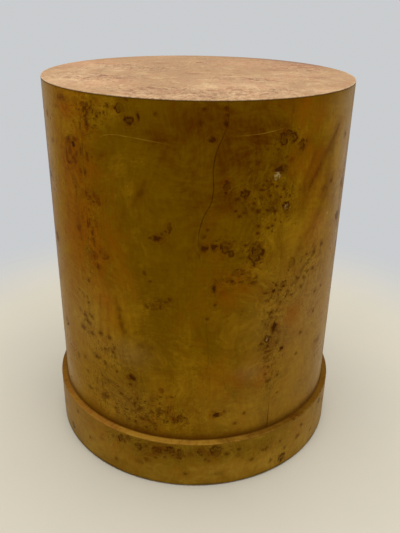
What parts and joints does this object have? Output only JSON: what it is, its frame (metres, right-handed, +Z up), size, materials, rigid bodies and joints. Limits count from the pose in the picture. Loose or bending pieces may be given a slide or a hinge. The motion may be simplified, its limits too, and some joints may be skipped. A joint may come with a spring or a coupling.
{
  "type": "pedestal table",
  "caption": "Cylindrical drum side table on a low wider plinth band, veneered all over in burl wood, with a flat round top to set things on.",
  "frame": {"origin": "on the floor under the middle of the drum", "axes": "+Z up along the drum's axis, -Y to the front, +X to the right of someone facing the front"},
  "size_m": [0.418, 0.418, 0.508],
  "materials": {
    "burl_top": "satin amber lacquer over burl veneer",
    "burl_drum": "satin amber lacquer over burl veneer",
    "burl_plinth": "satin amber lacquer over burl veneer",
    "bent_ply": "raw bending plywood",
    "band_core": "raw bending plywood",
    "panel_board": "raw particle board",
    "softwood": "planed softwood",
    "zinc_steel": "zinc plated",
    "nylon": "moulded nylon"
  },
  "bodies": {
    "root": {"top_veneer": "burl_top", "drum_veneer_front_left": "burl_drum", "drum_veneer_front_right": "burl_drum", "drum_veneer_rear_left": "burl_drum", "drum_veneer_rear_right": "burl_drum", "plinth_veneer_front": "burl_plinth", "plinth_veneer_rear": "burl_plinth", "plinth_lipping_front": "burl_plinth", "plinth_lipping_rear": "burl_plinth", "inner_skin": "bent_ply", "outer_skin": "bent_ply", "plinth_band_front": "band_core", "plinth_band_rear": "band_core", "top_panel": "panel_board", "base_panel": "panel_board", "middle_former": "panel_board", "stile_front": "softwood", "stile_front_right": "softwood", "stile_rear_right": "softwood", "stile_rear": "softwood", "stile_rear_left": "softwood", "stile_front_left": "softwood", "top_screws": "zinc_steel", "base_screws": "zinc_steel", "former_screws": "zinc_steel", "skin_brads": "zinc_steel", "plinth_brads": "zinc_steel", "glide_nail_1": "zinc_steel", "glide_nail_2": "zinc_steel", "glide_nail_3": "zinc_steel", "glide_nail_4": "zinc_steel", "glide_pad_1": "nylon", "glide_pad_2": "nylon", "glide_pad_3": "nylon", "glide_pad_4": "nylon"}
  },
  "joints": []
}
